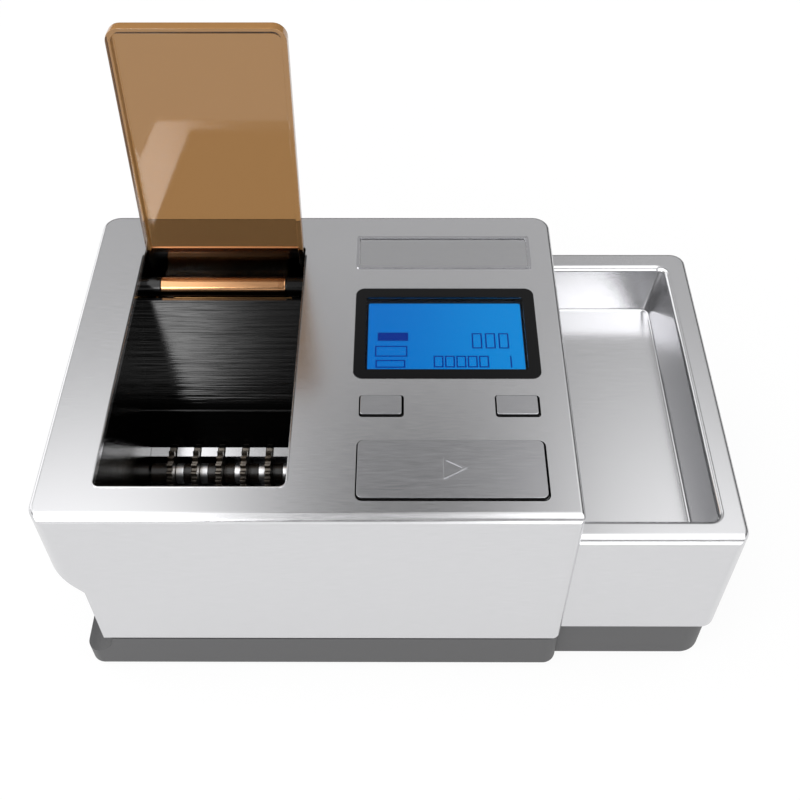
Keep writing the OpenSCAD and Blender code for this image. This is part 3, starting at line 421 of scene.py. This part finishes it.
def round_rim(edge, segments):
    """Rounds the rim of the faces that are selected."""
    bpy.ops.mesh.bevel(offset=edge * MM, segments=segments, affect="EDGES")


def round_off(edge, segments=2):
    """Rounds every edge of the piece."""
    bpy.ops.mesh.select_mode(type="EDGE")
    bpy.ops.mesh.select_all(action="SELECT")
    bpy.ops.mesh.bevel(offset=edge * MM, segments=segments, affect="EDGES",
                       clamp_overlap=True)


def block(low, high):
    """Adds a box between two points of the frame to a piece, or starts a piece with it."""
    none_selected()
    low, high = Vector(low), Vector(high)
    bpy.ops.mesh.primitive_cube_add(size=1, location=(low + high) / 2, scale=high - low)
    return started()


def rod_along_x(x0, x1, y, z, radius, sides):
    """Adds a rod between two X of the frame to a piece, or starts a piece with it."""
    none_selected()
    bpy.ops.mesh.primitive_cylinder_add(
        vertices=sides, radius=radius, depth=x1 - x0, rotation=(0, math.pi / 2, 0),
        location=((x0 + x1) / 2, y, z))
    return started()


def ring(low, high, z, width, rise, corner, edge=0.0):
    """Starts a frame that stands on height z, its inner edge a width inside its outer one."""
    none_selected()
    middle = (low + high) / 2
    bpy.ops.mesh.primitive_plane_add(size=1, location=(middle.x, middle.y, at(0, 0, z).z))
    piece = bpy.context.object
    piece.scale = (high.x - low.x, high.y - low.y, 1)
    bpy.ops.object.transform_apply(location=False, rotation=False, scale=True)
    edit(piece)
    bpy.ops.mesh.select_mode(type="VERT")
    bpy.ops.mesh.bevel(offset=corner * MM, segments=CORNER_STEPS, affect="VERTICES")
    bpy.ops.mesh.select_mode(type="FACE")
    bpy.ops.mesh.select_all(action="SELECT")
    bpy.ops.mesh.inset(thickness=width * MM)
    bpy.ops.mesh.delete(type="FACE")
    bpy.ops.mesh.select_all(action="SELECT")
    push_up(rise)
    bpy.ops.mesh.select_all(action="SELECT")
    bpy.ops.mesh.normals_make_consistent(inside=False)
    if edge:
        round_off(edge, EDGE_STEPS)
    return piece


# ------------------------------------------------------------ rounded CAD nodes

# How far the edges of each node are rounded
EDGES = {"top_shell": 0.8, "base_pan": 0.5, "tray_shell": 0.4, "tray_base": 0.6,
         "start_button": 0.35, "left_key": 0.3, "right_key": 0.3,
         "display_frame": 0.4, "nameplate": 0.2, "hopper": 0.4, "comb_plate": 0.15,
         "feed_wheels": 0.15, "feed_collars": 0.4, "feed_sleeves": 0.3,
         "rubber_feet": 0.6, "nozzle_plate": 0.2, "tube_clamp": 0.4, "lid": 0.5,
         "power_rocker": 0.5, "switch_housing": 0.4, "power_inlet": 0.3}
LID_CUT_Z = 122.4
# Planes, by a point and a normal, that part a large face, because a hole in the middle of
# a face spoils its rounded edges. The lid is parted where its bare sheet begins
CUTS = {"top_shell": (((0, 0, 91.0), (0, 0, 1)), ((0, 0, POWER_Z), (0, 0, 1)),
                      ((60.0, 0, 0), (1, 0, 0))),
        "base_pan": (((0, 148.6, 0), (0, 1, 0)), ((72.5, 0, 0), (1, 0, 0))),
        "tray_base": (((0, 12.0, 0), (0, 1, 0)),),
        "lid": (((0, 0, LID_CUT_Z), (0, 0, 1)),)}
FLAT_ANGLE = math.radians(0.6)
SAME_POINT = 2e-6        # metres; points nearer than this are one
SAME_AFTER = 1e-6        # the same after the rounding, which makes finer facets


def rounded(node, edge):
    """A merged copy of a node's solid whose sharp edges are rounded, in the node's place."""
    piece = nodes[node].copy()
    piece.data = nodes[node].data.copy()
    for key in list(piece.keys()):
        del piece[key]
    piece.hide_render = False
    piece.parent = None
    bpy.context.scene.collection.objects.link(piece)
    edit(piece)
    bpy.ops.mesh.remove_doubles(threshold=SAME_POINT)
    bpy.ops.mesh.dissolve_limited(angle_limit=FLAT_ANGLE)
    for point, normal in CUTS.get(node, ()):
        bpy.ops.mesh.select_all(action="SELECT")
        bpy.ops.mesh.bisect(plane_co=at(*point), plane_no=normal)
    bpy.ops.mesh.select_all(action="DESELECT")
    bpy.ops.mesh.edges_select_sharp(sharpness=SMOOTH_ANGLE)
    bpy.ops.mesh.bevel(offset=edge * MM, segments=2, affect="EDGES", clamp_overlap=True,
                       miter_outer="ARC")
    bpy.ops.mesh.select_all(action="SELECT")
    bpy.ops.mesh.remove_doubles(threshold=SAME_AFTER)
    done(piece, node + "_finished", body_of[node], slot_of[node], OWN_FINISHES.get(node))
    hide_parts(node)


for node, edge in EDGES.items():
    rounded(node, edge)


# ------------------------------------------------------------------- the panel

FLANGE = 1.5             # how far a button's flange stands out from its cap
SYMBOL_R = 6.5
SYMBOL_DEPTH = 0.9       # half of it stands above the cap
SYMBOL_EDGE = 0.16
SYMBOL_RIM = 0.9
SYMBOL_SUNK = 0.25       # depth of the symbol's middle
# Painted shade round the buttons: a black sheet in each gap, and a black band on the panel
# round each cap, widest at the right and front where the gap's shadow falls
GAP_AND_SHADE_FOOT = PANEL_Z - 1.6
GAP_AND_SHADE_REACH = 0.58        # just less than the gap round a cap
GAP_AND_SHADE_WIDTH = 0.54
GAP_AND_SHADE_RISE = 1.4          # leaves the top of the black gap sheet in the gap
SHADOW_BAND_WIDTH = 0.5
SHADOW_BAND_RISE = 1.66          # takes the top of the painted shadow band just above the panel
SHADOW_BAND_LEFT_FRONT = Vector((0.55, 1.05, 0)) * MM    # how far it reaches from the cap
SHADOW_BAND_RIGHT_BACK = Vector((1.00, 0.45, 0)) * MM
GAP_AND_SHADE_CORNERS = {"start_button": 2.9, "left_key": 1.5, "right_key": 1.5}


def cap_of(node):
    """The corners of a button's cap, which is narrower than the flange below it."""
    low, high = corners(node)
    inset = Vector((FLANGE, FLANGE, 0)) * MM
    return low + inset, high - inset


def start_symbol():
    """A triangle with a sunk middle, raised on the start button."""
    low, high = cap_of("start_button")
    none_selected()
    bpy.ops.mesh.primitive_cylinder_add(
        vertices=3, radius=SYMBOL_R * MM, depth=SYMBOL_DEPTH * MM,
        rotation=(0, 0, -math.pi / 2),
        location=((low.x + high.x) / 2, (low.y + high.y) / 2, high.z))
    symbol = started()
    round_off(SYMBOL_EDGE)
    pick(symbol, lambda place, normal: normal.z > 0.99)
    bpy.ops.mesh.inset(thickness=SYMBOL_RIM * MM)
    push_up(-SYMBOL_SUNK)
    done(symbol, "start_symbol", body_of["start_button"], "key_silver")


def button_gap_and_shade(node, corner):
    """Painted shade round a cap: a black sheet in the gap, and a painted shadow band on the
    panel, widest at the right and front.
    """
    low, high = cap_of(node)
    reach = Vector((GAP_AND_SHADE_REACH, GAP_AND_SHADE_REACH, 0)) * MM
    gap_and_shade = ring(low - reach, high + reach, GAP_AND_SHADE_FOOT, GAP_AND_SHADE_WIDTH, GAP_AND_SHADE_RISE, corner)
    done(gap_and_shade, node + "_gap_and_shade", body_of["top_shell"], "switch_black", BLACK_GAP_AND_SHADOW)
    shadow_band = ring(low - SHADOW_BAND_LEFT_FRONT, high + SHADOW_BAND_RIGHT_BACK, GAP_AND_SHADE_FOOT, SHADOW_BAND_WIDTH, SHADOW_BAND_RISE,
               corner)
    done(shadow_band, node + "_shadow_band", body_of["top_shell"], "switch_black", BLACK_GAP_AND_SHADOW)


FRAME_OUT = 1.6          # the frame's outer edge from the nameplate
FRAME_FOOT = PANEL_Z - 0.4
FRAME_WIDTH = 1.1
FRAME_RISE = 0.95
FRAME_CORNER = 1.2
FRAME_EDGE = 0.42


def nameplate_frame():
    """A rounded frame round the sunk nameplate."""
    low, high = corners("nameplate")
    margin = Vector((FRAME_OUT, FRAME_OUT, 0)) * MM
    piece = ring(low - margin, high + margin, FRAME_FOOT, FRAME_WIDTH, FRAME_RISE,
                 FRAME_CORNER, FRAME_EDGE)
    done(piece, "nameplate_frame", body_of["nameplate"], "key_silver")


HOPPER_WALL = 2.0        # from the sides of the hopper's box to its opening
HOPPER_BACK = 6.0        # from the back of the box to the opening
TRIM_OUT = 0.85          # the trim's outer edge from the opening
TRIM_FOOT = PANEL_Z - 0.15
TRIM_WIDTH = 0.8
TRIM_RISE = 0.45
TRIM_CORNER = 3.6
TRIM_EDGE = 0.2
TRIM_END_Y = 150.0       # where the trim ends beside the lid


def opening_trim():
    """A polished trim round the hopper's opening, up to the lid on both sides."""
    low, high = corners("hopper")
    low += Vector((HOPPER_WALL - TRIM_OUT, HOPPER_WALL - TRIM_OUT, 0)) * MM
    high -= Vector((HOPPER_WALL - TRIM_OUT, HOPPER_BACK - TRIM_OUT, 0)) * MM
    trim = ring(low, high, TRIM_FOOT, TRIM_WIDTH, TRIM_RISE, TRIM_CORNER, TRIM_EDGE)
    done(trim, "opening_trim", body_of["top_shell"], "shell_silver")
    edit(trim)
    bpy.ops.mesh.bisect(plane_co=at(0, TRIM_END_Y, 0), plane_no=(0, 1, 0), use_fill=True,
                        clear_outer=True)
    bpy.ops.object.mode_set(mode="OBJECT")


start_symbol()
# Painted shade and painted shadow round each button
for node, corner in GAP_AND_SHADE_CORNERS.items():
    button_gap_and_shade(node, corner)
nameplate_frame()
opening_trim()


# -------------------------------------------------------------------- the back

ROCKER = at(74.0, 171.3, POWER_Z)    # the rocker's axis
ROCKER_TILT = math.radians(7)
ROCKER_FACE = 4.0                    # its face from the axis
MARK_X = 3.6                         # each mark from the axis
BAR = Vector((0.6, 0.2, 3.4)) * MM   # width, depth and length of the bar
BAR_EDGE = 0.06
BAR_OUT = 0.02                       # its middle from the rocker's face
RING_R = 1.5                         # the ring's middle line
RING_THICK_R = 0.28
RING_SUNK = 0.15
PIN_R = 1.0
PIN_NOSE = 0.4
PIN_FOOT = 2.0                       # the pin's ends, from the ends of the inlet's box
PIN_TIP = 2.8


def rocker_marks():
    """A plain bar and a plain ring, printed on the two ends of the rocker."""
    turned = Matrix.Rotation(ROCKER_TILT, 3, "Z")
    none_selected()
    bpy.ops.mesh.primitive_cube_add(
        size=1, rotation=(0, 0, ROCKER_TILT),
        location=ROCKER + turned @ Vector((MARK_X, ROCKER_FACE + BAR_OUT, 0)) * MM)
    bar = bpy.context.object
    bar.scale = BAR
    bpy.ops.object.transform_apply(location=False, rotation=False, scale=True)
    edit(bar)
    round_off(BAR_EDGE)
    done(bar, "rocker_mark_on", body_of["power_rocker"], "switch_black", WHITE_PRINT)
    none_selected()
    bpy.ops.mesh.primitive_torus_add(
        major_radius=RING_R * MM, minor_radius=RING_THICK_R * MM, major_segments=32,
        minor_segments=8, rotation=(math.pi / 2, 0, ROCKER_TILT),
        location=ROCKER + turned @ Vector((-MARK_X, ROCKER_FACE - RING_SUNK, 0)) * MM)
    done(bpy.context.object, "rocker_mark_off", body_of["power_rocker"], "switch_black",
         WHITE_PRINT)


def inlet_pin():
    """The round-nosed contact pin in the middle of the power inlet."""
    low, high = corners("power_inlet")
    foot, tip = low.y + PIN_FOOT * MM, high.y - PIN_TIP * MM
    none_selected()
    bpy.ops.mesh.primitive_cylinder_add(
        vertices=32, radius=PIN_R * MM, depth=tip - foot, rotation=(math.pi / 2, 0, 0),
        location=((low.x + high.x) / 2, (foot + tip) / 2, (low.z + high.z) / 2))
    pin = started()
    pick(pin, lambda place, normal: normal.y > 0.99)
    round_rim(PIN_NOSE, 3)
    done(pin, "inlet_contact_pin", body_of["power_inlet"], "bright_steel")


rocker_marks()
inlet_pin()


# ----------------------------------------------------------------- the display

# The strokes of a digit, each from one corner to another: X is 0 or 1 across the digit,
# and Z is 0, 1 or 2 halves up it
STROKES = {"a": (0, 2, 1, 2), "b": (1, 1, 1, 2), "c": (1, 0, 1, 1), "d": (0, 0, 1, 0),
           "e": (0, 0, 0, 1), "f": (0, 1, 0, 2)}
DIGITS = {"0": "abcdef", "1": "bc", " ": ""}
INK = 0.62               # width of a stroke
INK_RISE = 0.05
GLASS_Z = PANEL_Z - 3.56
# The two rows: the text, the left front corner of the first digit, the width and the
# height of a digit, and the step from one to the next
UPPER_ROW = ("000", 176.0, 93.4, 3.9, 8.6, 5.9)
LOWER_ROW = ("00000 1", 158.9, 82.2, 3.7, 6.2, 4.95)
# The two empty bars of the level gauge and the full one, by their left front and right
# back corners
EMPTY_BARS = ((133.3, 88.5, 146.9, 94.3), (133.6, 82.0, 146.0, 85.9))
FULL_BAR = (134.0, 97.6, 147.6, 102.7)


def stroke(x0, y0, x1, y1):
    """A dark bar on the display, a stroke wide, from one point to another."""
    return block(at(x0 - INK / 2, y0 - INK / 2, GLASS_Z),
                 at(x1 + INK / 2, y1 + INK / 2, GLASS_Z + INK_RISE))


def number(text, x, y, width, height, pitch):
    """A row of digits whose first has its left front corner at x, y."""
    for i, digit in enumerate(text):
        for letter in DIGITS[digit]:
            x0, y0, x1, y1 = STROKES[letter]
            piece = stroke(x + i * pitch + x0 * width, y + y0 * height / 2,
                           x + i * pitch + x1 * width, y + y1 * height / 2)
    return piece


def display_marks():
    """Two rows of plain numbers and the empty bars of the gauge, in one piece."""
    marks = number(*UPPER_ROW)
    number(*LOWER_ROW)
    for x0, y0, x1, y1 in EMPTY_BARS:
        stroke(x0, y0, x1, y0)
        stroke(x0, y1, x1, y1)
        stroke(x0, y0, x0, y1)
        stroke(x1, y0, x1, y1)
    done(marks, "display_marks", body_of["lcd_module"], "lcd_blue", DISPLAY_INK)


def display_gauge():
    """The full bar of the gauge."""
    x0, y0, x1, y1 = FULL_BAR
    bar = block(at(x0, y0, GLASS_Z), at(x1, y1, GLASS_Z + INK_RISE))
    done(bar, "display_gauge", body_of["lcd_module"], "lcd_blue", DISPLAY_INK)


display_marks()
display_gauge()


# --------------------------------------------------------------------- the lid

EDGE_SHARE = 0.6         # an edge's normal has less than this share along the sheet's own
EDGES_FROM_Z = LID_CUT_Z + 0.2
# A painted highlight along the lid's foot: a thin copper rod
HIGHLIGHT_ROD_R = 0.5
HIGHLIGHT_ROD_SHORT = 1.5         # the highlight rod's ends from the lid's sides
END_EDGE = 0.2           # rounding at the ends of the highlight rod and the tube
HIGHLIGHT_ROD_Y, HIGHLIGHT_ROD_Z = 153.5, 122.0
TUBE_R = 4.66
TUBE_X = (31.05, 89.75)  # the tube's ends, just clear of the hinge's knuckles
GROOVES = 3
GROOVE_PITCH = 1.0
GROOVE_WIDTH = 0.35
GROOVE_DEPTH = 0.2
GROOVED_END = 3.2        # the first groove from the tube's right end


def lid_edges():
    """Gives the lid's narrow faces, above its foot, the look of polished sheet edges."""
    lid = bpy.data.objects["lid_finished"]
    sheet = max(lid.data.polygons, key=lambda face: face.area).normal.copy()
    lid.data.materials.append(AMBER_EDGE)
    for face in lid.data.polygons:
        above_foot = face.center.z > at(0, 0, EDGES_FROM_Z).z
        if above_foot and abs(face.normal.dot(sheet)) < EDGE_SHARE:
            face.material_index = 1


def lid_foot_highlight_rod():
    """A thin copper rod along the front of the lid's foot: a painted highlight of its rounded
    edge.
    """
    low, high = corners("lid")
    highlight_rod = rod_along_x(low.x + HIGHLIGHT_ROD_SHORT * MM, high.x - HIGHLIGHT_ROD_SHORT * MM,
                       at(0, HIGHLIGHT_ROD_Y, 0).y, at(0, 0, HIGHLIGHT_ROD_Z).z, HIGHLIGHT_ROD_R * MM, 24)
    pick(highlight_rod, lambda place, normal: abs(normal.x) > 0.99)
    round_rim(END_EDGE, 2)
    done(highlight_rod, "lid_foot_highlight_rod", body_of["lid"], "amber_lid", COPPER_HIGHLIGHT_ROD)


def lid_barrel_tube():
    """A polished tube over the hinge barrel, with fine grooves at its right end."""
    low, high = corners("hinge_pin")
    axis = (low + high) / 2
    start, end = at(TUBE_X[0], 0, 0).x, at(TUBE_X[1], 0, 0).x
    grooved = end - GROOVED_END * MM
    tube = rod_along_x(start, grooved, axis.y, axis.z, TUBE_R * MM, 64)
    for i in range(GROOVES):
        here = grooved + i * GROOVE_PITCH * MM
        land = here + GROOVE_WIDTH * MM
        rod_along_x(here, land, axis.y, axis.z, (TUBE_R - GROOVE_DEPTH) * MM, 64)
        rod_along_x(land, here + GROOVE_PITCH * MM, axis.y, axis.z, TUBE_R * MM, 64)
    last = grooved + GROOVES * GROOVE_PITCH * MM
    pick(tube, lambda place, normal: abs(normal.x) > 0.99 and (
        place.x < start + 0.1 * MM or place.x > last - 0.1 * MM))
    round_rim(END_EDGE, 2)
    done(tube, "lid_barrel_tube", body_of["lid"], "amber_lid", AMBER_TUBE)


lid_edges()
lid_foot_highlight_rod()
lid_barrel_tube()


# ------------------------------------------------------------------- the floor

FLOOR_SIZE = 8
PAPER = (0.92, 0.92, 0.92, 1)
# The share of the paper's own shine, and its strength: first in the light that it gives
# the object, then where the camera sees it
SHARE = (0.80, 0.93)
SHINE = (0.89, 1.00)


def white_paper():
    """Matt paper that shines by itself, so that it is white and keeps a soft shadow."""
    paper = bpy.data.materials.new("white_paper")
    paper.use_nodes = True
    tree = paper.node_tree
    tree.nodes.clear()
    matt = add(tree, "ShaderNodeBsdfDiffuse", inputs={"Color": PAPER})
    seen = add(tree, "ShaderNodeLightPath").outputs["Is Camera Ray"]
    shine = add(tree, "ShaderNodeMapRange", inputs={
        "Value": seen, "To Min": SHINE[0], "To Max": SHINE[1]})
    lit = add(tree, "ShaderNodeEmission", inputs={
        "Color": (1, 1, 1, 1), "Strength": shine.outputs[0]})
    share = add(tree, "ShaderNodeMapRange", inputs={
        "Value": seen, "To Min": SHARE[0], "To Max": SHARE[1]})
    choice = add(tree, "ShaderNodeMixShader", inputs={
        0: share.outputs[0], 1: matt.outputs[0], 2: lit.outputs[0]})
    add(tree, "ShaderNodeOutputMaterial", inputs={"Surface": choice.outputs[0]})
    return paper


none_selected()
bpy.ops.mesh.primitive_plane_add(size=FLOOR_SIZE, location=(0, 0, 0))
floor = bpy.context.object
floor.name = "floor"
floor.data.materials.append(white_paper())
